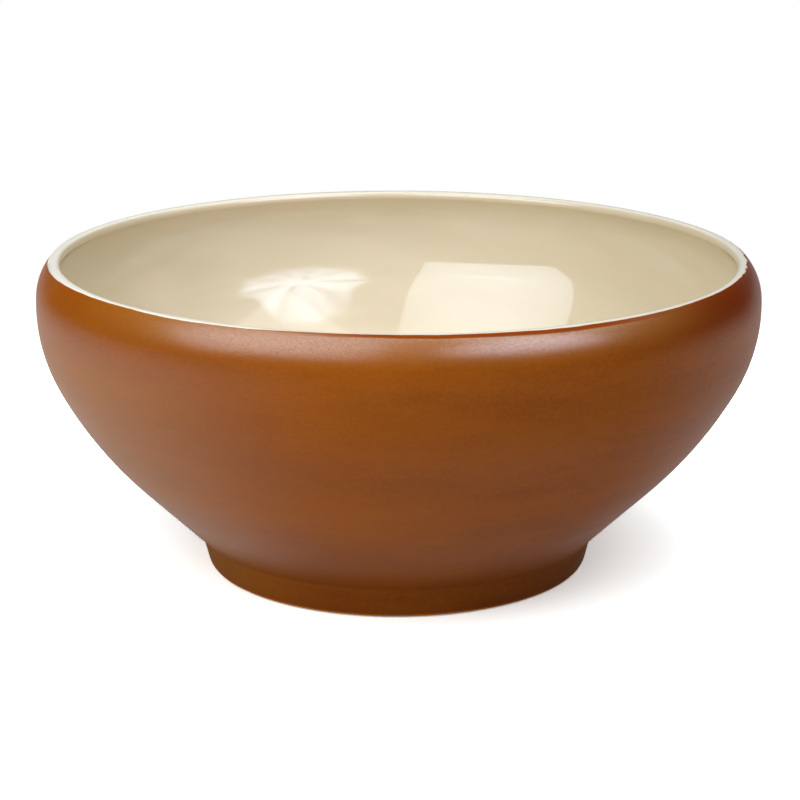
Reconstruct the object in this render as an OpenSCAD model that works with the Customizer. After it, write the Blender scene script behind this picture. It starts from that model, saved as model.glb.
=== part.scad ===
// Deep round serving bowl: a thin clay bowl on a separate foot ring, with a glossy
// cream glaze inside and over the lip, and a satin brown glaze outside.
// Every piece is a half outline turned about the upright axis.
// An outline is walked with the clay on its left hand, so a coat of glaze is the
// same walk moved to its right by the thickness of the coat.

/* [Bowl] */
// Widest diameter, over the glaze
bowl_d = 280; // [250:1:310]
// Height from the table to the top of the lip, over the glaze
bowl_h = 123; // [110:1:136]
// Thickness of the clay wall
wall_t = 3.7; // [3:0.1:6]
// Thickness of the clay floor at its middle
floor_t = 6; // [4.5:0.1:9]

/* [Wall outline] */
// Angle of the straight flare above the foot, from level
flare_a = 44.4; // [38:0.1:50]
// Length of the straight flare
flare_len = 37.9; // [28:0.1:46]
// Drop from the top of the lip to the widest line
belly_drop = 17.3; // [14:0.1:22]
// How much of the way from the flare to the belly its slow bend takes up
slow_bend_share = 0.315; // [0.2:0.005:0.45]
// How much of the way from the belly to the lip its slow bend takes up
shoulder_bend_share = 0.131; // [0.08:0.001:0.4]

/* [Lip] */
// Diameter of the clay at the outer edge of the lip
lip_d = 268.4; // [262:0.1:272]
// Direction of the wall where it meets the lip, past level
lip_a = 133; // [120:0.5:145]
// Rounding of the clay at the outer edge of the lip
lip_outer_r = 1; // [0.5:0.1:1.6]
// Rounding of the clay at the inner edge of the lip
lip_inner_r = 1.5; // [0.8:0.1:2.4]

/* [Inside] */
// Radius of the bend between the wall and the floor
well_r = 45; // [25:1:60]
// Slope of the dished floor at its edge
dish_a = 4; // [2:0.5:8]

/* [Foot] */
// Diameter of the clay foot ring where it meets the bowl
foot_d = 154.9; // [130:0.1:170]
// Height of the clay foot ring
foot_h = 12.7; // [8:0.1:16]
// Width of the foot ring where it meets the bowl
foot_w = 12.5; // [10.5:0.1:18]
// Lean of the outer side of the foot
foot_outer_a = 14; // [0:0.5:18]
// Lean of the inner side of the foot
foot_inner_a = 5; // [0:0.5:12]
// Rounding of the lower outer edge
foot_edge_r = 3.8; // [2:0.1:6]
// Rounding of the lower inner edge
foot_inner_r = 1.5; // [0.8:0.1:2]

/* [Glaze] */
// Thickness of the satin brown coat
outer_glaze_t = 0.4; // [0.2:0.05:0.8]
// Thickness of the glossy cream coat
liner_glaze_t = 0.5; // [0.2:0.05:1]
// How much of the height of the foot's rounded outer edge is left bare
bare_share = 0.35; // [0.1:0.01:0.7]
// Height wiped clean inside the foot, above its rounding
wipe_h = 1; // [0.5:0.1:3]
// Radius of the glaze that pools in the corner between the foot and the wall
outer_pool_r = 2.5; // [0.5:0.1:5]
// Radius of the glaze that pools in the corner under the bowl
under_pool_r = 2.5; // [1:0.1:4]

/* [Hidden] */

// How far a chord may fall inside the curve that it follows
curve_tol = 0.02;
// Sides of the turned shapes as they are drawn
turn_sides = 144;
clay_colour = "#c8ac84";
cream_colour = "#e2d4b8";
brown_colour = "#96532a";

// Directions are angles in degrees from the outward level, a quarter turn apart
up_a = 90;
inward_a = 2 * up_a;
down_a = 3 * up_a;
outward_a = 4 * up_a;

function unit(a) = [cos(a), sin(a)];
function left(a) = [-sin(a), cos(a)];
function heading(v) = atan2(v[1], v[0]);
function reversed(list) = [for (i = [len(list) - 1:-1:0]) list[i]];

// Where a bend of radius r ends, from p heading a to heading b. A right hand bend has r under zero
function bend_end(p, a, b, r) = p + r * (left(a) - left(b));

// A bend is [start, first heading, last heading, radius]
function bend_steps(bend) =
    max(1, ceil(abs(bend[2] - bend[1]) / (2 * acos(1 - curve_tol / abs(bend[3])))));

// Points along one bend, moved to the right by a coat
function bend_points(bend, coat = 0, skip = 0) =
    let (steps = bend_steps(bend))
    [for (i = [skip:steps])
        let (a = bend[1] + (bend[2] - bend[1]) * i / steps)
        bend_end(bend[0], bend[1], a, bend[3]) - coat * left(a)];

// Points along bends that follow each other with no straight between them
function run_points(bends, coat = 0) =
    [for (i = [0:len(bends) - 1]) each bend_points(bends[i], coat, i == 0 ? 0 : 1)];

// Two bends that join start, heading a, to end, heading b. The first tangent's length is given
function pair_of_bends(start, a, end, b, first) =
    let (
        v = end - start,
        second = (v * v - 2 * first * (v * unit(a)))
            / (2 * (v * unit(b)) + 2 * first * (1 - unit(a) * unit(b))),
        m = heading(end - second * unit(b) - start - first * unit(a)),
        r1 = first / tan((m - a) / 2),
        r2 = second / tan((b - m) / 2)
    )
    [[start, a, m, r1], [bend_end(start, a, m, r1), m, b, r2]];

// The inner face of a bend: the same bend walked backwards at the wall's thickness
function inner_face(bend, start) =
    [start, bend[2] + inward_a, bend[1] + inward_a, wall_t - bend[3]];
function last_point(bend) = bend_end(bend[0], bend[1], bend[2], bend[3]);

// Where two coated faces meet in a hollow corner, heading a before it and b after it
function coated_corner(p, a, b, coat) =
    p - coat * (left(a) + left(b)) / (1 + left(a) * left(b));

// The pool of glaze in a hollow corner
function pool_points(p, a, b, coat, r) =
    bend_points([coated_corner(p, a, b, coat) - r * tan((a - b) / 2) * unit(a), a, b, -r]);

// Outside of the clay wall, from the foot to the lip
foot_corner = [foot_d / 2, foot_h];
flare_top = foot_corner + flare_len * unit(flare_a);
belly = [bowl_d / 2 - outer_glaze_t, bowl_h - belly_drop];
rim_z = bowl_h - liner_glaze_t;
lip_edge = [lip_d / 2, rim_z - lip_outer_r * (1 + cos(lip_a))];
lower_bends = pair_of_bends(flare_top, flare_a, belly, up_a,
    slow_bend_share * norm(belly - flare_top));
upper_bends = pair_of_bends(belly, up_a, lip_edge, lip_a,
    shoulder_bend_share * norm(lip_edge - belly));
wall_bends = concat(lower_bends, upper_bends);

// The lip: its outer edge, a level top, and an inner edge that runs on under the overhang
shoulder = upper_bends[1];
shoulder_centre = shoulder[0] + shoulder[3] * left(shoulder[1]);
inner_shoulder_r = shoulder[3] - wall_t;
bead_a = asin((rim_z - lip_inner_r - shoulder_centre[1]) / (inner_shoulder_r + lip_inner_r));
bead_centre = shoulder_centre + (inner_shoulder_r + lip_inner_r) * unit(bead_a);
lip_outer_bend = [lip_edge, lip_a, inward_a, lip_outer_r];
lip_inner_bend = [bead_centre + lip_inner_r * unit(up_a), inward_a, bead_a + down_a, lip_inner_r];

// Inside of the clay wall, from the lip down to the flare
inner_1 = [last_point(lip_inner_bend), bead_a + down_a, shoulder[1] + inward_a, -inner_shoulder_r];
inner_2 = inner_face(upper_bends[0], last_point(inner_1));
inner_3 = inner_face(lower_bends[1], last_point(inner_2));
inner_4 = inner_face(lower_bends[0], last_point(inner_3));
inner_flare_top = last_point(inner_4);

// Inside of the floor: a shallow dish that the well joins to the flare
floor_z = foot_h + floor_t;
dish_r = -(left(flare_a) * ([0, floor_z] - inner_flare_top + well_r * (left(dish_a) - left(flare_a))))
    / (left(flare_a) * [sin(dish_a), 1 - cos(dish_a)]);
dish_edge = [dish_r * sin(dish_a), floor_z + dish_r * (1 - cos(dish_a))];
well_top = dish_edge + well_r * (left(dish_a) - left(flare_a));
well_bend = [well_top, flare_a + inward_a, dish_a + inward_a, -well_r];
dish_bend = [dish_edge, dish_a + inward_a, inward_a, -dish_r];

function lip_and_inside(coat = 0) = concat(
    bend_points(lip_outer_bend, coat),
    run_points([lip_inner_bend, inner_1, inner_2, inner_3, inner_4], coat),
    run_points([well_bend, dish_bend], coat));

// The foot ring: inner side, lower inner edge, resting face, lower outer edge, outer side
foot_root = foot_corner - [foot_w, 0];
inner_side_a = down_a + foot_inner_a;
outer_side_a = up_a - foot_outer_a;
inner_round_h = foot_inner_r * (1 - sin(foot_inner_a));
outer_round_h = foot_edge_r * (1 - sin(foot_outer_a));
function on_inner_side(z) = foot_root + unit(inner_side_a) * (foot_h - z) / cos(foot_inner_a);
function on_outer_side(z) = foot_corner - unit(outer_side_a) * (foot_h - z) / cos(foot_outer_a);
foot_inner_bend = [on_inner_side(inner_round_h), inner_side_a, outward_a, foot_inner_r];
foot_edge_start = [on_outer_side(outer_round_h)[0] - foot_edge_r * cos(foot_outer_a), 0];
foot_edge_bend = [foot_edge_start, 0, outer_side_a, foot_edge_r];

// The brown coat stops on the rounded edge of the foot, at the top of the bare band
bare_a = acos(1 - bare_share * outer_round_h / foot_edge_r);
coated_edge_bend =
    [bend_end(foot_edge_start, 0, bare_a, foot_edge_r), bare_a, outer_side_a, foot_edge_r];

// A half outline turned about the upright axis
module turned(outline) {
    rotate_extrude($fn = turn_sides) polygon(outline);
}

// The thrown bowl: wall, lip and floor
module clay_body() {
    color(clay_colour)
        turned(concat([[0, foot_h], foot_corner], run_points(wall_bends), lip_and_inside()));
}

// The ring that the bowl stands on, stuck to the flat underside of the bowl
module foot_ring() {
    color(clay_colour)
        turned(concat([foot_root], bend_points(foot_inner_bend),
            bend_points(foot_edge_bend), [foot_corner]));
}

// Glossy cream coat over the lip and the whole of the inside
module liner_glaze() {
    color(cream_colour)
        turned(concat(lip_and_inside(liner_glaze_t), reversed(lip_and_inside())));
}

// Satin brown coat from the edge of the lip down to the bare band of the foot
module outer_glaze() {
    clay_face = concat(bend_points(coated_edge_bend), [foot_corner], run_points(wall_bends));
    coat_face = concat(bend_points(coated_edge_bend, outer_glaze_t),
        pool_points(foot_corner, outer_side_a, flare_a, outer_glaze_t, outer_pool_r),
        run_points(wall_bends, outer_glaze_t));
    color(brown_colour) turned(concat(coat_face, reversed(clay_face)));
}

// Satin brown coat under the bowl, inside the foot ring
module underside_glaze() {
    side_a = inner_side_a - outward_a;
    coat_end = on_inner_side(inner_round_h + wipe_h);
    color(brown_colour)
        turned(concat([[0, foot_h], [0, foot_h - outer_glaze_t]],
            pool_points(foot_root, 0, side_a, outer_glaze_t, under_pool_r),
            [coat_end - outer_glaze_t * left(side_a), coat_end, foot_root]));
}

clay_body();
foot_ring();
liner_glaze();
outer_glaze();
underside_glaze();
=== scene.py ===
import math
import bpy
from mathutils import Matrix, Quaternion, Vector


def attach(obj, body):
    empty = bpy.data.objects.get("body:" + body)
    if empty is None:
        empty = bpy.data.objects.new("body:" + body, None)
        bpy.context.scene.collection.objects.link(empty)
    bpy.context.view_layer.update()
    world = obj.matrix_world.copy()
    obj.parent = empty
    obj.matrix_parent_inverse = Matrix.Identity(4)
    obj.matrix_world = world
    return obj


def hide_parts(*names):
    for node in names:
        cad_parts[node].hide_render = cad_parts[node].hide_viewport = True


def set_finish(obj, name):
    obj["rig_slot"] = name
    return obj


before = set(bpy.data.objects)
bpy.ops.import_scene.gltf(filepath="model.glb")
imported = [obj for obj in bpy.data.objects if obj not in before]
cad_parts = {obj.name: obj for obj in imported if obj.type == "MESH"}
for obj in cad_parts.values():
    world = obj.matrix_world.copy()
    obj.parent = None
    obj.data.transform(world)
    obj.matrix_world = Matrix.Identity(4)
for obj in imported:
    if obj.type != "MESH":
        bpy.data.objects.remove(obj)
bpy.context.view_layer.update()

# Sizes of the bowl in millimetres, the same as in its solids
BOWL_R = 140.0
BOWL_H = 123.0
WALL_T = 3.7
FLOOR_T = 6.0
FLARE_A = 44.4
FLARE_LEN = 37.9
BELLY_DROP = 17.3
SLOW_BEND_SHARE = 0.315
SHOULDER_BEND_SHARE = 0.131
LIP_R = 134.2
LIP_A = 133.0
LIP_OUTER_R = 1.0
LIP_INNER_R = 1.5
WELL_R = 45.0
DISH_A = 4.0
FOOT_R = 77.45
FOOT_H = 12.7
FOOT_W = 12.5
FOOT_OUTER_A = 14.0
FOOT_INNER_A = 5.0
FOOT_EDGE_R = 3.8
FOOT_INNER_R = 1.5
BROWN_T = 0.4
CREAM_T = 0.5
BARE_SHARE = 0.35
WIPE_H = 1.0
OUTER_POOL_R = 2.5
UNDER_POOL_R = 2.5
FAR_FROM_LIP = 200.0

MM = 0.001
SAME_PLACE = 0.000002

# How fine the meshes are: sides round the axis, and degrees to a step along a bend
SIDES = 256
FACE_STEP = 1.5
BACK_STEP = 4.0
EDGE_STEP = 6.0
EDGE_BACK_STEP = 12.0
POOL_STEP = 7.0
FOOT_INNER_STEP = 9.0
FOOT_EDGE_STEP = 7.0

# The lip's tight bends take steps this many times as wide, and the dish steps this many times as fine
LIP_STEPS = 3
DISH_STEPS = 6

# Parts that a straight run is cut into
FLARE_PARTS = 12
INNER_FLARE_PARTS = 6
FOOT_SIDE_PARTS = 5

# Edges sharper than this angle stay sharp
SHARP_A = 35

# Headings in degrees from the outward level, turning upwards
UP = 90.0
INWARD = 180.0
DOWN = 270.0
OUTWARD = 360.0


def unit(a):
    return Vector((math.cos(math.radians(a)), math.sin(math.radians(a))))


def left(a):
    return Vector((-math.sin(math.radians(a)), math.cos(math.radians(a))))


def heading(v):
    return math.degrees(math.atan2(v.y, v.x))


class Bend:
    """Part of an outline that is walked with the clay on its left hand."""

    def __init__(self, start, first, last, radius):
        self.start = start
        self.first = first
        self.last = last
        self.radius = radius

    def at(self, a, coat=0.0):
        return self.start + self.radius * (left(self.first) - left(a)) - coat * left(a)

    def end(self):
        return self.at(self.last)

    def points(self, step, coat=0.0, coat_end=None):
        turn = self.last - self.first
        count = max(1, math.ceil(abs(turn) / step))
        coat_end = coat if coat_end is None else coat_end
        return [
            self.at(self.first + turn * i / count, coat + (coat_end - coat) * i / count)
            for i in range(count + 1)
        ]

    def inner_face(self, start):
        return Bend(start, self.last + INWARD, self.first + INWARD, WALL_T - self.radius)


def pair_of_bends(start, a, end, b, first):
    """Two bends that join start, heading a, to end, heading b."""
    v = end - start
    between = 1 - unit(a).dot(unit(b))
    second = (v.dot(v) - 2 * first * v.dot(unit(a))) / (2 * v.dot(unit(b)) + 2 * first * between)
    m = heading(end - second * unit(b) - start - first * unit(a))
    one = Bend(start, a, m, first / math.tan(math.radians((m - a) / 2)))
    return [one, Bend(one.end(), m, b, second / math.tan(math.radians((b - m) / 2)))]


def straight(a, b, count):
    return [a.lerp(b, i / count) for i in range(count + 1)]


def run(bends, step, coat=0.0):
    points = []
    for bend in bends:
        points += bend.points(step, coat)[1 if points else 0:]
    return points


def pool(corner, a, b, coat, r):
    """Glaze lying in a hollow corner."""
    coated = corner - coat * (left(a) + left(b)) / (1 + left(a).dot(left(b)))
    start = coated - r * math.tan(math.radians((a - b) / 2)) * unit(a)
    return Bend(start, a, b, -r).points(POOL_STEP)


# Outside of the clay wall
foot_corner = Vector((FOOT_R, FOOT_H))
flare_top = foot_corner + FLARE_LEN * unit(FLARE_A)
belly = Vector((BOWL_R - BROWN_T, BOWL_H - BELLY_DROP))
rim_z = BOWL_H - CREAM_T
lip_edge = Vector((LIP_R, rim_z - LIP_OUTER_R * (1 + math.cos(math.radians(LIP_A)))))
lower_bends = pair_of_bends(flare_top, FLARE_A, belly, UP, SLOW_BEND_SHARE * (belly - flare_top).length)
upper_bends = pair_of_bends(belly, UP, lip_edge, LIP_A, SHOULDER_BEND_SHARE * (lip_edge - belly).length)
wall_bends = lower_bends + upper_bends

# The lip, and the inside of the wall down to the flare
shoulder = upper_bends[1]
shoulder_centre = shoulder.start + shoulder.radius * left(shoulder.first)
inner_shoulder_r = shoulder.radius - WALL_T
bead_reach = inner_shoulder_r + LIP_INNER_R
bead_a = math.degrees(math.asin((rim_z - LIP_INNER_R - shoulder_centre.y) / bead_reach))
bead_centre = shoulder_centre + bead_reach * unit(bead_a)
lip_outer = Bend(lip_edge, LIP_A, INWARD, LIP_OUTER_R)
lip_inner = Bend(bead_centre + LIP_INNER_R * unit(UP), INWARD, bead_a + DOWN, LIP_INNER_R)
inner_bends = [Bend(lip_inner.end(), bead_a + DOWN, shoulder.first + INWARD, -inner_shoulder_r)]
for outside in (upper_bends[0], lower_bends[1], lower_bends[0]):
    inner_bends.append(outside.inner_face(inner_bends[-1].end()))
inner_flare_top = inner_bends[-1].end()

# The dished floor and the well that joins it to the wall
floor_z = FOOT_H + FLOOR_T
well_turn = left(DISH_A) - left(FLARE_A)
dish_reach = Vector((0.0, floor_z)) - inner_flare_top + WELL_R * well_turn
dish_across = math.sin(math.radians(DISH_A))
dish_rise = 1 - math.cos(math.radians(DISH_A))
dish_r = -left(FLARE_A).dot(dish_reach) / left(FLARE_A).dot(Vector((dish_across, dish_rise)))
dish_edge = Vector((dish_r * dish_across, floor_z + dish_r * dish_rise))
well = Bend(dish_edge + WELL_R * well_turn, FLARE_A + INWARD, DISH_A + INWARD, -WELL_R)
dish = Bend(dish_edge, DISH_A + INWARD, INWARD, -dish_r)

# The foot ring
foot_root = foot_corner - Vector((FOOT_W, 0.0))
inner_side_a = DOWN + FOOT_INNER_A
outer_side_a = UP - FOOT_OUTER_A


def on_inner_side(z):
    return foot_root + unit(inner_side_a) * (FOOT_H - z) / math.cos(math.radians(FOOT_INNER_A))


def on_outer_side(z):
    return foot_corner - unit(outer_side_a) * (FOOT_H - z) / math.cos(math.radians(FOOT_OUTER_A))


inner_round_h = FOOT_INNER_R * (1 - math.sin(math.radians(FOOT_INNER_A)))
outer_round_h = FOOT_EDGE_R * (1 - math.sin(math.radians(FOOT_OUTER_A)))
foot_inner = Bend(on_inner_side(inner_round_h), inner_side_a, OUTWARD, FOOT_INNER_R)
edge_x = on_outer_side(outer_round_h).x - FOOT_EDGE_R * math.cos(math.radians(FOOT_OUTER_A))
foot_edge = Bend(Vector((edge_x, 0.0)), 0.0, outer_side_a, FOOT_EDGE_R)
bare_a = math.degrees(math.acos(1 - BARE_SHARE * outer_round_h / FOOT_EDGE_R))
glazed_edge = Bend(foot_edge.at(bare_a), bare_a, outer_side_a, FOOT_EDGE_R)


def lip_and_inside(step, coat=0.0, coat_start=None):
    """From the outer edge of the lip to the middle of the floor."""
    start = coat if coat_start is None else coat_start
    points = lip_outer.points(step * LIP_STEPS, start, coat)
    points += lip_inner.points(step * LIP_STEPS, coat)
    points += run(inner_bends, step, coat)[1:]
    wall_end = points.pop()
    well_points = well.points(step, coat)
    points += straight(wall_end, well_points[0], INNER_FLARE_PARTS)
    points += well_points[1:]
    return points + dish.points(step / DISH_STEPS, coat)[1:]


def outside_wall(step, coat=0.0):
    """From the top of the flare to the outer edge of the lip."""
    return run(wall_bends, step, coat)


def lengths(points):
    """How far along the outline each point lies."""
    out = [0.0]
    for a, b in zip(points, points[1:]):
        out.append(out[-1] + (b - a).length)
    return out


def turned(name, outline, past_lip=None):
    """A half outline drawn point by point from one corner, then turned about the axis.
    past_lip gives each point's way along the face from the lip's outer edge, in millimetres. It grows
    inwards."""
    start = outline[0]
    bpy.ops.object.select_all(action="DESELECT")
    bpy.ops.mesh.primitive_plane_add(size=MM, location=(start.x * MM, 0, start.y * MM))
    obj = bpy.context.object
    obj.name = obj.data.name = name
    bpy.ops.object.transform_apply(location=True, rotation=True, scale=True)
    bpy.ops.object.mode_set(mode="EDIT")
    bpy.ops.mesh.select_mode(type="VERT")
    bpy.ops.mesh.select_all(action="SELECT")
    bpy.ops.mesh.merge(type="CENTER")
    for here, there in zip(outline, outline[1:]):
        move = ((there.x - here.x) * MM, 0, (there.y - here.y) * MM)
        bpy.ops.mesh.extrude_region_move(TRANSFORM_OT_translate={"value": move})
    bpy.ops.object.mode_set(mode="OBJECT")
    if past_lip:
        obj.data.attributes.new("past_lip", "FLOAT", "POINT").data.foreach_set("value", past_lip)
    bpy.ops.object.modifier_add(type="SCREW")
    lathe = obj.modifiers[-1]
    lathe.axis = "Z"
    lathe.angle = math.tau
    lathe.screw_offset = 0.0
    lathe.steps = lathe.render_steps = SIDES
    lathe.use_merge_vertices = True
    lathe.merge_threshold = SAME_PLACE
    bpy.ops.object.modifier_apply(modifier=lathe.name)
    bpy.ops.object.mode_set(mode="EDIT")
    bpy.ops.mesh.select_all(action="SELECT")
    bpy.ops.mesh.remove_doubles(threshold=SAME_PLACE)
    bpy.ops.mesh.normals_make_consistent(inside=False)
    bpy.ops.object.mode_set(mode="OBJECT")
    return obj


foot_pool = pool(foot_corner, outer_side_a, FLARE_A, BROWN_T, OUTER_POOL_R)
edge_face = glazed_edge.points(EDGE_STEP, BROWN_T)
wall_face = outside_wall(FACE_STEP, BROWN_T)
brown_face = (
    edge_face[:-1]
    + straight(edge_face[-1], foot_pool[0], FOOT_SIDE_PARTS)
    + foot_pool[1:-1]
    + straight(foot_pool[-1], wall_face[0], FLARE_PARTS)
    + wall_face[1:]
)
brown_back = glazed_edge.points(EDGE_BACK_STEP) + [foot_corner] + outside_wall(BACK_STEP)
cream_face = lip_and_inside(FACE_STEP, CREAM_T, BROWN_T)
cream_back = lip_and_inside(BACK_STEP)
side_a = inner_side_a - OUTWARD
wiped = on_inner_side(inner_round_h + WIPE_H)

outside_way = [w - lengths(brown_face)[-1] for w in lengths(brown_face)]
outside_back_way = [w - lengths(brown_back)[-1] for w in lengths(brown_back)]
brown_coat = turned(
    "brown_coat",
    brown_face + brown_back[::-1] + brown_face[:1],
    outside_way + outside_back_way[::-1] + outside_way[:1],
)
cream_coat = turned(
    "cream_coat",
    cream_face[::-1] + cream_back,
    lengths(cream_face)[::-1] + lengths(cream_back),
)
clay_bowl = turned(
    "clay_bowl",
    [Vector((0.0, FOOT_H)), foot_corner] + outside_wall(BACK_STEP) + lip_and_inside(BACK_STEP),
)
foot_face = foot_inner.points(FOOT_INNER_STEP) + foot_edge.points(FOOT_EDGE_STEP)
clay_foot = turned("clay_foot", [foot_root] + foot_face + [foot_corner, foot_root])
under_outline = (
    [Vector((0.0, FOOT_H - BROWN_T))]
    + pool(foot_root, 0.0, side_a, BROWN_T, UNDER_POOL_R)
    + [wiped - BROWN_T * left(side_a), wiped, foot_root, Vector((0.0, FOOT_H))]
)
# The underside lies far from the lip, so it is brown all over
under_coat = turned("under_coat", under_outline, [-FAR_FROM_LIP] * len(under_outline))

# The bowl was thrown by hand: it leans a little, and its lip isn't quite level. A cage round it carries
# the lean in millimetres and the tilt in degrees, layer by layer from the foot up.
CAGE_TOP = 0.125
CAGE_HALF = 0.15
CAGE_LAYERS = 6
LAYER_CORNERS = 4
LEANS = (0.5, 0.35, 0.55, 0.9, 1.2, 1.25)
TILTS = (0.0, 0.03, 0.06, 0.09, 0.12, 0.14)

bpy.ops.object.select_all(action="DESELECT")
bpy.ops.object.add(type="LATTICE", location=(0, 0, CAGE_TOP / 2))
cage = bpy.context.object
cage.scale = (CAGE_HALF * 2, CAGE_HALF * 2, CAGE_TOP)
cage.data.points_u = cage.data.points_v = 2
cage.data.points_w = CAGE_LAYERS
cage.data.interpolation_type_u = cage.data.interpolation_type_v = "KEY_LINEAR"
cage.data.interpolation_type_w = "KEY_CARDINAL"
for i, point in enumerate(cage.data.points):
    layer = i // LAYER_CORNERS
    across = math.copysign(CAGE_HALF, point.co.x)
    point.co_deform.x += LEANS[layer] * MM / cage.scale.x
    point.co_deform.z -= math.tan(math.radians(TILTS[layer])) * across / cage.scale.z
bpy.context.view_layer.update()

for piece, node, finish in (
    (brown_coat, "outer_glaze", "brown_glaze"),
    (cream_coat, "liner_glaze", "cream_glaze"),
    (clay_bowl, "clay_body", "bare_clay"),
    (clay_foot, "foot_ring", "bare_clay"),
    (under_coat, "underside_glaze", "brown_glaze"),
):
    bpy.ops.object.select_all(action="DESELECT")
    piece.select_set(True)
    bpy.context.view_layer.objects.active = piece
    bpy.ops.object.modifier_add(type="LATTICE")
    piece.modifiers[-1].object = cage
    bpy.ops.object.modifier_apply(modifier=piece.modifiers[-1].name)
    bpy.ops.object.shade_smooth_by_angle(angle=math.radians(SHARP_A))
    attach(piece, "root")
    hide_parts(node)
    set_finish(piece, finish)
bpy.data.objects.remove(cage)


class Value:
    """A number that changes over a surface. Sums with it add Math nodes."""

    def __init__(self, finish, socket):
        self.finish = finish
        self.socket = socket

    def sum(self, operation, *values):
        return self.finish.node("ShaderNodeMath", {"operation": operation}, dict(enumerate(values)))

    def __add__(self, other):
        return self.sum("ADD", self, other)

    def __sub__(self, other):
        return self.sum("SUBTRACT", self, other)

    def __rsub__(self, other):
        return self.sum("SUBTRACT", other, self)

    def __mul__(self, other):
        return self.sum("MULTIPLY", self, other)

    def __truediv__(self, other):
        return self.sum("DIVIDE", self, other)

    def __pow__(self, other):
        return self.sum("POWER", self, other)

    __radd__ = __add__
    __rmul__ = __mul__

    def size(self):
        return self.sum("ABSOLUTE", self)

    def most(self, other):
        return self.sum("MAXIMUM", self, other)

    def between(self, low, high):
        """Rises smoothly from 0 at low to 1 at high."""
        return self.finish.node(
            "ShaderNodeMapRange", {"interpolation_type": "SMOOTHSTEP"},
            {"Value": self, "From Min": low, "From Max": high, "To Min": 0.0, "To Max": 1.0})

    def outside(self, low, high):
        """Falls smoothly from 1 at low to 0 at high."""
        return 1.0 - self.between(low, high)


class Finish:
    """A procedural finish, made node by node."""

    def __init__(self, name, data=None):
        self.owner = data or bpy.data.materials.new(name)
        self.owner.use_nodes = True
        self.tree = self.owner.node_tree
        self.tree.nodes.clear()

    def node(self, kind, settings=None, values=None, out=0):
        made = self.tree.nodes.new(kind)
        for key, setting in (settings or {}).items():
            setattr(made, key, setting)
        for key, value in (values or {}).items():
            if isinstance(value, Value):
                self.tree.links.new(value.socket, made.inputs[key])
            else:
                made.inputs[key].default_value = value
        return Value(self, made.outputs[out]) if len(made.outputs) else made

    def position(self):
        return self.node("ShaderNodeTexCoord", out="Object")

    def split(self, vector):
        parts = self.node("ShaderNodeSeparateXYZ", None, {0: vector}).socket.node
        return [Value(self, part) for part in parts.outputs]

    def attribute(self, name):
        return self.node("ShaderNodeAttribute", {"attribute_name": name}, out="Fac")

    def noise(self, vector, fineness, detail=2.0, roughness=0.5):
        return self.node(
            "ShaderNodeTexNoise", {"noise_dimensions": "3D"},
            {"Vector": vector, "Scale": fineness, "Detail": detail, "Roughness": roughness})

    def mix(self, share, one, other):
        return self.node("ShaderNodeMix", {"data_type": "RGBA"}, {0: share, 6: one, 7: other}, out=2)

    def tinted(self, colour, tints):
        """A colour with each tint laid over it in turn, by its share."""
        for share, tint in tints:
            colour = self.mix(share, colour, tint)
        return colour

    def bump(self, height, distance):
        return self.node("ShaderNodeBump", None, {"Height": height, "Distance": distance, "Strength": 1.0})

    def shader(self, **values):
        sockets = {name.replace("_", " "): value for name, value in values.items()}
        return self.node("ShaderNodeBsdfPrincipled", None, sockets)

    def either(self, share, one, other):
        return self.node("ShaderNodeMixShader", None, {0: share, 1: one, 2: other})

    def glow(self, colour, strength):
        return self.node("ShaderNodeEmission", None, {"Color": colour, "Strength": strength})

    def surface(self, shader):
        self.node("ShaderNodeOutputMaterial", None, {"Surface": shader})
        return self.owner


def as_light(channel):
    """One channel of a colour as a camera writes it, from 0 to 255, as an amount of light."""
    if channel <= 10:
        return channel / 255 / 12.92
    return ((channel / 255 + 0.055) / 1.055) ** 2.4


def srgb(red, green, blue):
    return (as_light(red), as_light(green), as_light(blue), 1.0)


# Colours of the brown glaze, with some that are painted light and shade
THICK_BROWN = srgb(102, 47, 1)
THIN_BROWN = srgb(168, 90, 12)
LIT_LEFT_BROWN = srgb(182, 124, 38)
LIT_FOOT_ORANGE = srgb(226, 132, 40)
SHADED_BROWN = srgb(101, 34, 1)
LIP_BROWN = srgb(134, 58, 1)
SHEEN_TINT_BROWN = srgb(178, 120, 30)
PORE_BROWN = srgb(92, 44, 6)
PINHOLE_BROWN = srgb(70, 30, 8)

# Colours of the cream glaze, some of them painted light and shade, and of the bare clay
GREEN_CREAM = srgb(217, 205, 180)
CREAM = srgb(226, 214, 190)
WARM_CREAM = srgb(229, 210, 192)
SHADED_SIDE_CREAM = srgb(212, 200, 173)
LIT_LEFT_LIP_CREAM = srgb(242, 238, 226)
LIT_LIP_CREAM = srgb(227, 222, 208)
SPECK_CREAM = srgb(246, 243, 236)
DARK_CLAY = srgb(150, 118, 86)
LIGHT_CLAY = srgb(186, 156, 122)

# Patterns in the glaze: how fine each is, its detail and roughness, and how many times it is
# drawn out along the wheel's turn
WANDER = (45.0, 2.0, 0.5, 1.0)
NIBBLES = (330.0, 2.0, 0.5, 1.0)
CLOUDS = (11.0, 4.0, 0.6, 3.5)
STREAKS = (32.0, 3.0, 0.6, 9.0)
GRAIN = (620.0, 2.0, 0.7, 1.6)
PORES = (2300.0, 2.0, 0.6, 1.0)
PEEL = (1300.0, 1.0, 0.5, 1.0)
RINGS = (9.0, 3.0, 0.55, 4.0)
WARMTH = (16.0, 2.0, 0.5, 2.2)
RIPPLE = (26.0, 1.0, 0.4, 1.6)

# From where such a pattern counts for nothing to where it counts in full
MOTTLE_SPAN = (0.36, 0.64)
PORE_SPAN = (0.36, 0.62)
RING_SPAN = (0.35, 0.65)
WARMTH_SPAN = (0.5, 0.7)

# Scattered marks: cells to a metre, the size of a mark in its cell, and the share of cells with one.
# A mark is solid to this share of its size, and the cells with one are cut off over this small step.
PINHOLES = (330.0, 0.13, 0.012)
SPECKS = (90.0, 0.05, 0.02)
MARK_SOLID = 0.6
CHANCE_STEP = 0.001
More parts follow.
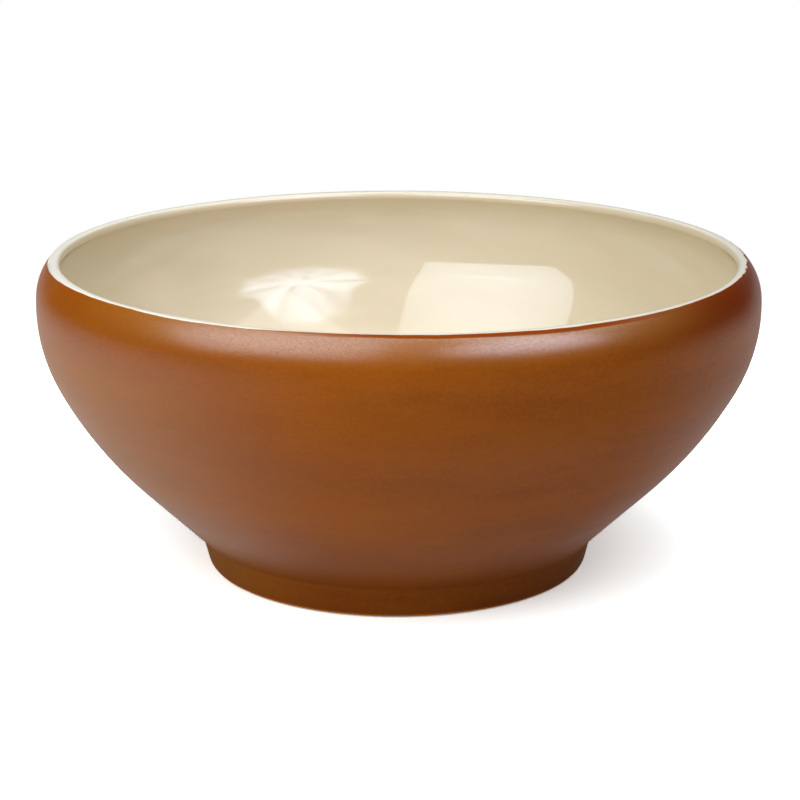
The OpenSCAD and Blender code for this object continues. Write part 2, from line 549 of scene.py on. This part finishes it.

# Heights in millimetres, from where a change in the glaze starts to where it is full; some of these changes
# are painted light and shade
FOOT_EDGE_SPAN = (1.3, 2.0)
FOOT_SHADE_SPAN = (9.0, 18.0)
ABOVE_FOOT_SPAN = (12.5, 30.0)
LOW_WALL_SPAN = (25.0, 60.0)
BELLY_SPAN = (70.0, 96.0)
LIT_LEFT_SPAN = (94.0, 108.0)
SHOULDER_SPAN = (104.0, 118.0)
SKIN_SPAN = (110.6, 121.0)

# Ways along the face from the edge between the glazes, or from the lip's outer edge, in millimetres
GLAZE_EDGE_SPAN = (-0.12, 0.12)
THIN_EDGE_SPAN = (1.4, 2.0)
LIT_LIP_SPAN = (3.2, 4.4)

# Distances from the axis in metres, inside which a tint no longer follows a direction
OFF_AXIS_SPAN = (0.02, 0.065)

# Directions, from -1 at the far left to 1 at the far right
RAGGED_SIDE = (0.93, 0.985)
LIT_LEFT_SIDE = (-0.95, -0.3)
SHADED_RIGHT = (0.45, 0.85)
THICKER_EDGE_RIGHT = (0.5, 0.85)
SKIN_SIDES = (0.6, 0.88)
SKIN_MIDDLE = (-0.2, 0.3)
HAZE_RIGHT = (0.55, 0.95)
HAZE_LEFT = (-0.9, -0.1)
HAZE_FAR_SIDES = (0.9, 0.99)
SHADED_CREAM_RIGHT = (0.1, 0.9)
SHADED_CREAM_LEFT = (-0.95, -0.75)
LIT_LIP_LEFT = (-0.9, -0.2)

# The same towards the front right, where the brown is thin on the lip
THIN_LIP_FRONT = (0.42, 0.7)

# The brown's edge on the lip in millimetres: how much further it climbs towards the front right, how far
# short of the lip's outer edge it stops where it doesn't, how far it wanders, and how deep it is
# nibbled all round and at its ragged side
CLIMB_FRONT_RIGHT = 1.25
STOPS_SHORT = 0.1
EDGE_WANDER = 0.8
SMOOTH_NIBBLES = 0.25
RAGGED_NIBBLES = 3.0

# Where that edge rises or dips: the direction, how wide its top and its whole are to each side, and
# its height in millimetres
EDGE_WAVES = (
    (-0.79, 0.04, 0.24, 0.8),
    (-0.13, 0.06, 0.26, 0.7),
    (0.55, 0.1, 0.4, -0.5),
)

# How the brown goes from 0 for its thin colour to 1 for its thicker, darker one: darker towards the front
# right, and darker near the foot as painted shade
EVEN_THICKNESS = 0.55
DARKER_FRONT_RIGHT = 0.34
THINNEST = -0.15
PAINTED_FOOT_SHADE = 0.13
MOTTLE_DEPTH = 0.26
FOOT_WANDER = 0.5

# How much of each pattern goes into the mottle
CLOUD_SHARE = 0.5
STREAK_SHARE = 0.15
GRAIN_SHARE = 0.35

# How rough the brown is without its coat, and how much more the grain adds
BROWN_ROUGHNESS = 0.6
GRAIN_ROUGHNESS = 0.12

# The brown's sheen: a hard clear coat, weak all over and strongest in the skin on the shoulder
SKIN_SHINE = 1.05
SKIN_SHINE_MIDDLE = 0.2
PORE_SHINE = 0.21
GRAIN_SHINE = 0.19
WALL_SHINE = 0.03
BELLY_HAZE = 0.055
LOW_HAZE = 0.07
LEFT_HAZE = 0.38
RIGHT_HAZE = 0.22
FAR_SIDE_HAZE = 0.24

# How high the fine relief of the surfaces stands, and how fine and detailed the clay's grain is
PEEL_RELIEF = 0.03 * MM
RIPPLE_RELIEF = 0.16 * MM
CLAY_RELIEF = 0.1 * MM
CLAY_GRAIN = (900.0, 3.0)


class Glaze(Finish):
    """The brown and the cream glaze, and the edge where they meet at the lip."""

    def __init__(self, name):
        super().__init__(name)
        self.place = self.position()
        x, y, z = self.split(self.place)
        reach = (x * x + y * y) ** 0.5
        off_axis = reach.between(*OFF_AXIS_SPAN)
        self.height = z / MM
        self.to_right = x / reach * off_axis
        self.to_front = 0.0 - y / reach * off_axis
        self.to_front_right = (x - y) / reach * math.sqrt(0.5)
        self.on_shoulder = self.height.between(*SHOULDER_SPAN)
        self.past_lip = self.attribute("past_lip")
        self.wander = self.pattern(*WANDER) - 0.5
        self.below_edge = self.climb() - self.past_lip

    def pattern(self, fineness, detail, roughness, drawn_out):
        stretch = {"Vector": self.place, "Scale": (1, 1, drawn_out)}
        along_turn = self.node("ShaderNodeMapping", {"vector_type": "POINT"}, stretch)
        return self.noise(along_turn, fineness, detail, roughness)

    def marks(self, cells_per_metre, size, share):
        """Small round marks scattered over the glaze, in that share of the cells."""
        cells = {"voronoi_dimensions": "3D", "feature": "F1"}
        inputs = {"Vector": self.place, "Scale": cells_per_metre, "Randomness": 1.0}
        near = self.node("ShaderNodeTexVoronoi", cells, inputs, out="Distance")
        cell = self.node("ShaderNodeTexVoronoi", cells, inputs, out="Color")
        chance = self.node("ShaderNodeSeparateColor", None, {"Color": cell}, out="Red")
        return near.outside(size * MARK_SOLID, size) * chance.outside(share, share + CHANCE_STEP)

    def climb(self):
        """How far the brown climbs on to the lip from its outer edge, in millimetres.
        It climbs furthest at the front right, and stops short of the lip at the back left."""
        climb = CLIMB_FRONT_RIGHT * self.to_front_right - STOPS_SHORT
        for direction, top, whole, rise in EDGE_WAVES:
            climb = climb + rise * (self.to_right - direction).size().outside(top, whole)
        ragged = self.to_right.between(*RAGGED_SIDE)
        nibbles = self.pattern(*NIBBLES) - 0.5
        return climb + EDGE_WANDER * self.wander + (SMOOTH_NIBBLES + RAGGED_NIBBLES * ragged) * nibbles

    def brown(self):
        """Mottled along the wheel's turn, darker where it lies thicker, orange where it thins at the foot's
        edge and below the lip.
        Painted shade darkens it near the foot and on the right of the shoulder, painted light pales it low
        on the left and at the foot's edge, and a painted highlight tint lies under its shine, which is
        strongest on the shoulder, through a skin that is broken by pores."""
        grain = self.pattern(*GRAIN)
        mottle = CLOUD_SHARE * self.pattern(*CLOUDS) + STREAK_SHARE * self.pattern(*STREAKS)
        mottle = (mottle + GRAIN_SHARE * grain).between(*MOTTLE_SPAN)
        # Darker towards the front right, by the bowl's own directions
        thick_and_shaded = EVEN_THICKNESS + DARKER_FRONT_RIGHT * (self.to_right * self.to_front).most(THINNEST)
        # Darker near the foot: painted shade under the belly's overhang
        thick_and_shaded = thick_and_shaded + PAINTED_FOOT_SHADE * self.height.outside(*FOOT_SHADE_SPAN)
        thin = 1.0 + MOTTLE_DEPTH * mottle - thick_and_shaded

        # Paler brown low on the left: painted light
        pale = self.to_right.outside(*LIT_LEFT_SIDE) * self.height.outside(*LIT_LEFT_SPAN)
        # Orange where the glaze thins at the foot's edge, made paler still as painted light on that shaded
        # edge
        thin_foot = (self.height + FOOT_WANDER * self.wander).outside(*FOOT_EDGE_SPAN)
        # Darker on the right of the shoulder: painted shade
        right_shoulder_shade = self.on_shoulder * self.to_right.between(*SHADED_RIGHT)
        thin_lip = self.below_edge.outside(*THIN_EDGE_SPAN) * self.to_front_right.between(*THIN_LIP_FRONT)
        thin_lip = thin_lip * (1.0 - 0.8 * self.to_right.between(*THICKER_EDGE_RIGHT))
        skin = self.height.between(*SKIN_SPAN) * (1.0 - thin_lip) * self.to_right.size().outside(*SKIN_SIDES)
        pores = self.pattern(*PORES).between(*PORE_SPAN)
        colour = self.tinted(self.mix(thin, THICK_BROWN, THIN_BROWN), (
            (0.28 * pale, LIT_LEFT_BROWN),
            (thin_foot, LIT_FOOT_ORANGE),
            (0.85 * right_shoulder_shade, SHADED_BROWN),
            (0.9 * thin_lip, LIP_BROWN),
            # Paler, yellower brown under the shoulder's shine: a painted highlight tint
            (0.35 * skin, SHEEN_TINT_BROWN),
            (0.34 * skin * (1.0 - pores), PORE_BROWN),
            (0.7 * self.marks(*PINHOLES), PINHOLE_BROWN),
        ))

        below_shoulder = 1.0 - self.on_shoulder
        shine = skin * (SKIN_SHINE + SKIN_SHINE_MIDDLE * self.to_right.between(*SKIN_MIDDLE))
        shine = shine * (PORE_SHINE + GRAIN_SHINE * pores)
        haze = BELLY_HAZE * self.height.outside(*BELLY_SPAN)
        haze = haze + LOW_HAZE * self.height.outside(*LOW_WALL_SPAN)
        haze = haze + LEFT_HAZE * self.to_right.outside(*HAZE_LEFT) * below_shoulder
        haze = haze + RIGHT_HAZE * self.to_right.between(*HAZE_RIGHT) * below_shoulder
        haze = haze + FAR_SIDE_HAZE * self.to_right.size().between(*HAZE_FAR_SIDES) * self.on_shoulder
        haze = haze * self.height.between(*ABOVE_FOOT_SPAN)
        return self.shader(
            Base_Color=colour,
            Roughness=BROWN_ROUGHNESS + GRAIN_ROUGHNESS * grain,
            IOR=1.12,
            Coat_Weight=WALL_SHINE * below_shoulder + haze + shine,
            Coat_Roughness=0.26,
            Coat_IOR=2.4,
            Normal=self.bump(self.pattern(*PEEL), PEEL_RELIEF),
        )

    def cream(self):
        """Faint warm and green rings, with painted shade that greys the sides and painted light that pales
        the lip, palest at the left.
        """
        rings = self.mix(self.pattern(*RINGS).between(*RING_SPAN), GREEN_CREAM, CREAM)
        # Greyer towards the sides: painted shade
        shaded_sides = self.to_right.between(*SHADED_CREAM_RIGHT).most(self.to_right.outside(*SHADED_CREAM_LEFT))
        # Paler cream over the lip, palest at the left: painted light
        lit_lip = self.mix(self.to_right.between(*LIT_LIP_LEFT), LIT_LEFT_LIP_CREAM, LIT_LIP_CREAM)
        colour = self.tinted(rings, (
            (0.35 * self.pattern(*WARMTH).between(*WARMTH_SPAN), WARM_CREAM),
            (shaded_sides, SHADED_SIDE_CREAM),
            (self.past_lip.outside(*LIT_LIP_SPAN), lit_lip),
            (0.6 * self.marks(*SPECKS), SPECK_CREAM),
        ))
        return self.shader(
            Base_Color=colour,
            Roughness=0.055,
            IOR=1.6,
            Normal=self.bump(self.pattern(*RIPPLE), RIPPLE_RELIEF),
        )

    def fired(self):
        below = self.below_edge.between(*GLAZE_EDGE_SPAN)
        return self.surface(self.either(below, self.cream(), self.brown()))


def bare_clay():
    f = Finish("bare_clay")
    grain = f.noise(f.position(), *CLAY_GRAIN)
    colour = f.mix(grain, DARK_CLAY, LIGHT_CLAY)
    return f.surface(f.shader(Base_Color=colour, Roughness=0.85, Normal=f.bump(grain, CLAY_RELIEF)))


finishes = {
    "brown_glaze": Glaze("brown_glaze").fired(),
    "cream_glaze": Glaze("cream_glaze").fired(),
    "bare_clay": bare_clay(),
}
for piece in (brown_coat, cream_coat, clay_bowl, clay_foot, under_coat):
    piece.data.materials.append(finishes[piece["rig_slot"]])

# Camera at the photograph's angle
EYE = Vector((1.678, -889.19, 309.27)) * MM
LOOKS_DOWN = 15.443
LENS = 105.12
SENSOR = 36.0
NEAREST = 0.05
FURTHEST = 60.0

camera = bpy.data.objects.new("camera", bpy.data.cameras.new("camera"))
bpy.context.scene.collection.objects.link(camera)
camera.data.lens = LENS
camera.data.sensor_width = SENSOR
camera.data.clip_start = NEAREST
camera.data.clip_end = FURTHEST
camera.location = EYE
camera.rotation_euler = (math.radians(90 - LOOKS_DOWN), 0.0, 0.0)
bpy.context.scene.camera = camera

# Lamps aim at a point on the bowl's axis. Sizes and distances are in metres, and a strength is how
# bright a lamp looks, where a white wall is 1.
AIM = Vector((0.0, 0.0, 0.1))
IN_FRONT = 1.0
BEHIND = 1.01
SQUARE_PLACE = {"azimuth": -36.0, "elevation": 36.0, "across": -0.12, "upwards": 0.09, "turn": 8.0}
SQUARE_SIZE = (1.08, 0.88)
SQUARE_SHINE = 4.9
SQUARE_SPREAD = 3.05
SQUARE_TINT = (0.74, 0.87, 0.99, 1.0)
ROUND_PLACE = {"azimuth": 38.0, "elevation": 35.0}
ROUND_OFFSET = {"across": 0.055, "upwards": 0.03}
ROUND_SIZE = (1.06, 0.76)
ROUND_SPREAD_SIZE = (0.82, 0.70)
ROUND_SHINE = 7.7
ROUND_SPREAD = 1.2
ROUND_TINT = (0.74, 0.87, 1.08, 1.0)
TOP_PLACE = {"azimuth": 0.0, "elevation": 85.0}
TOP_DISTANCE = 1.2
TOP_SIZE = (1.0, 1.0)
TOP_STRENGTH = 1.8
HIGH_PLACE = {"azimuth": 80.0, "elevation": 62.0}
HIGH_DISTANCE = 1.3
HIGH_SIZE = (1.2, 1.0)
HIGH_STRENGTH = 1.85

# The soft box's face, where the middle is 0 and the edges are -1 and 1
CORNER_SLOPE = 0.47
CORNER_CUT = (1.22, 1.26)
SEAM_UP = 0.455
SEAM_SLOPE = 0.055
SEAM_SPAN = (0.0, 0.07)
SEAM_MIDDLE = -0.2
SEAM_END = (0.2, 0.9)
SEAM_GLOW = 0.5
DARKER_SIDES = 0.3
DARKER_TOP = 0.2
BRIGHTEST_UP = 0.3

# The umbrella's face
HUB_UP = 0.25
FOLDS = 4.0
FOLDS_TURN = 1.4
PLEAT_TURN = 3.0
PLEAT_REACH = 0.4
PLEAT_FINENESS = 2.2
SCALLOPS = 0.17
NARROWER_BELOW = 0.42
NARROWING_SPAN = (-0.3, 0.8)
EDGE_SPAN = (0.78, 1.04)
FALL_OFF = 0.5
FALL_OFF_POWER = 1.5
FALL_OFF_UP = 1.1
CREASE = 0.5
CREASE_SPAN = (0.0, 0.8)
CREASE_START = (0.05, 0.3)
HUB_DARK = 0.45
CATCH_DARK = 0.35

# Small dark patches at its middle: how far right and up, and how narrow and flat
PATCH_SPAN = (0.5, 1.0)
HUB_PATCH = (0.09, 0.34, 12.0, 9.0)
CATCH_PATCH = (-0.10, 0.04, 10.0, 14.0)


def soft_lamp(name, size, strength, distance, azimuth, elevation,
              across=0.0, upwards=0.0, turn=0.0, oval=False):
    """A soft lamp aimed at the bowl."""
    a = math.radians(azimuth)
    e = math.radians(elevation)
    out = Vector((math.sin(a) * math.cos(e), -math.cos(a) * math.cos(e), math.sin(e)))
    side = Vector((math.cos(a), math.sin(a), 0.0))
    up = out.cross(side)
    lamp = bpy.data.objects.new(name, bpy.data.lights.new(name, "AREA"))
    bpy.context.scene.collection.objects.link(lamp)
    lamp.data.shape = "ELLIPSE" if oval else "RECTANGLE"
    lamp.data.size, lamp.data.size_y = size
    area = size[0] * size[1] * (math.pi / 4 if oval else 1.0)
    lamp.data.energy = strength * math.pi * area
    lamp.rotation_mode = "QUATERNION"
    lamp.location = AIM + out * distance + side * across + up * upwards
    lamp.rotation_quaternion = out.to_track_quat("Z", "Y") @ Quaternion((0, 0, 1), math.radians(turn))
    return lamp


def patch(right, up, middle_right, middle_up, narrow, flat):
    """1 inside a small box on a lamp's face, fading to 0 at its edge."""
    across = ((right - middle_right) * narrow).size()
    upwards = ((up - middle_up) * flat).size()
    return across.most(upwards).outside(*PATCH_SPAN)


def square_face(f, right, up):
    """A soft box with one corner cut off and a bright seam."""
    inside = (right + CORNER_SLOPE * up).outside(*CORNER_CUT)
    seam = (up - SEAM_UP + SEAM_SLOPE * right).size().outside(*SEAM_SPAN)
    seam_end = (right - SEAM_MIDDLE).size().outside(*SEAM_END)
    level = 1.0 - DARKER_SIDES * (right * right) - DARKER_TOP * (up - BRIGHTEST_UP) ** 2
    return inside * (level + SEAM_GLOW * seam * seam_end)


def round_face(f, right, up):
    """An umbrella: bright in the middle, with folds that run out from it to a scalloped edge."""
    rise = up - HUB_UP
    out = (right * right + rise * rise) ** 0.5
    turn = f.node("ShaderNodeMath", {"operation": "ARCTAN2"}, {0: rise, 1: right})
    fold = f.node("ShaderNodeMath", {"operation": "SINE"}, {0: turn * FOLDS - FOLDS_TURN}).size()
    round_the_hub = f.node("ShaderNodeCombineXYZ", None, {0: turn * PLEAT_TURN, 1: PLEAT_REACH * out})
    pleats = f.noise(round_the_hub, PLEAT_FINENESS) - 0.5
    narrowed = right * (1.0 + NARROWER_BELOW * (0.0 - up).between(*NARROWING_SPAN))
    reach = (narrowed * narrowed + up * up) ** 0.5 * (1.0 + SCALLOPS * fold)
    level = (1.0 - FALL_OFF * out ** FALL_OFF_POWER) * (1.0 - FALL_OFF_UP * rise.most(0.0))
    level = level * reach.outside(*EDGE_SPAN)
    creases = 1.0 - CREASE * fold.outside(*CREASE_SPAN) * out.between(*CREASE_START)
    hub = patch(right, up, *HUB_PATCH)
    catch = patch(right, up, *CATCH_PATCH)
    return level * creases * (1.0 + pleats) * (1.0 - HUB_DARK * hub) * (1.0 - CATCH_DARK * catch)


def light_face(lamp, face, tint):
    """Lights a lamp by a pattern of the place on its face. The place goes from -1 to 1, to the right and
    upwards as the bowl shows it."""
    lamp.data.use_nodes = True
    f = Finish(lamp.name, lamp.data)
    u, v, _ = f.split(f.node("ShaderNodeNewGeometry", out="Parametric"))
    level = face(f, 1.0 - 2.0 * u, 1.0 - 2.0 * v)
    f.node("ShaderNodeOutputLight", None, {"Surface": f.glow(tint, level)})


# What the two front lamps add to the shine and what they spread over the bowl are two lamps each,
# one just behind the other
lamp = soft_lamp("square_lamp", SQUARE_SIZE, SQUARE_SHINE, IN_FRONT, **SQUARE_PLACE)
lamp.visible_diffuse = False
light_face(lamp, square_face, SQUARE_TINT)
lamp = soft_lamp("square_spread", SQUARE_SIZE, SQUARE_SPREAD, BEHIND, **SQUARE_PLACE)
lamp.visible_glossy = False
lamp = soft_lamp("round_lamp", ROUND_SIZE, ROUND_SHINE, IN_FRONT, **ROUND_PLACE, **ROUND_OFFSET)
lamp.visible_diffuse = False
light_face(lamp, round_face, ROUND_TINT)
lamp = soft_lamp("round_spread", ROUND_SPREAD_SIZE, ROUND_SPREAD, BEHIND, oval=True, **ROUND_PLACE)
lamp.visible_glossy = False

# Broad lights overhead and high on the right
soft_lamp("top_lamp", TOP_SIZE, TOP_STRENGTH, TOP_DISTANCE, **TOP_PLACE)
soft_lamp("high_lamp", HIGH_SIZE, HIGH_STRENGTH, HIGH_DISTANCE, **HIGH_PLACE)

# Floor and surroundings
FLOOR_WIDTH = 12.0
FLOOR_GREY = (0.71, 0.71, 0.71, 1.0)
WHITE = (1, 1, 1, 1)
AWAY = (0.25, 0.6)
SEEN_FLOOR = (1.8, 1.98, 2.02, 1.0)
SEEN_GLOW = 0.32
GLOSS_FLOOR = (0.5, 0.5, 0.5, 1.0)
GLOSS_GLOW = 0.4
FILL = 0.03
BACK_WALL = 0.28
BEHIND_BOWL = (0.5, 0.85)


def seen_rays(f):
    """The rays that show the surroundings: straight to the camera, and by way of gloss or glass."""
    straight_ray, glossy, clear = (
        f.node("ShaderNodeLightPath", out="Is " + kind + " Ray")
        for kind in ("Camera", "Glossy", "Transmission"))
    return straight_ray, glossy.most(clear)


bpy.ops.object.select_all(action="DESELECT")
bpy.ops.mesh.primitive_plane_add(size=FLOOR_WIDTH, location=(0, 0, 0))
floor = bpy.context.object
floor.name = "floor"
f = Finish("pale_floor")
pale = f.node("ShaderNodeBsdfDiffuse", None, {"Color": FLOOR_GREY})
white = f.glow(WHITE, 1.0)
away = f.node("ShaderNodeVectorMath", {"operation": "LENGTH"}, {0: f.position()}, out="Value").between(*AWAY)


def lit_floor(colour, glow):
    """White away from the bowl, and near it a floor that keeps the bowl's shadow."""
    shaded = f.node("ShaderNodeBsdfDiffuse", None, {"Color": colour})
    near = f.node("ShaderNodeAddShader", None, {0: shaded, 1: f.glow(WHITE, glow)})
    return f.either(away, near, white)


to_camera, to_gloss = seen_rays(f)
floor_look = f.either(to_gloss, pale, lit_floor(GLOSS_FLOOR, GLOSS_GLOW))
floor_look = f.either(to_camera, floor_look, lit_floor(SEEN_FLOOR, SEEN_GLOW))
floor.data.materials.append(f.surface(floor_look))
f.owner.cycles.emission_sampling = "NONE"

world = bpy.data.worlds.new("surroundings")
bpy.context.scene.world = world
w = Finish("surroundings", world)
to_camera, to_gloss = seen_rays(w)
behind = w.split(w.node("ShaderNodeTexCoord", out="Generated"))[1].between(*BEHIND_BOWL)
level = to_camera.most(BACK_WALL * to_gloss * behind).most(FILL)
backdrop = w.node("ShaderNodeBackground", None, {"Color": WHITE, "Strength": level})
w.node("ShaderNodeOutputWorld", None, {"Surface": backdrop})

bpy.context.scene.view_settings.view_transform = "Standard"
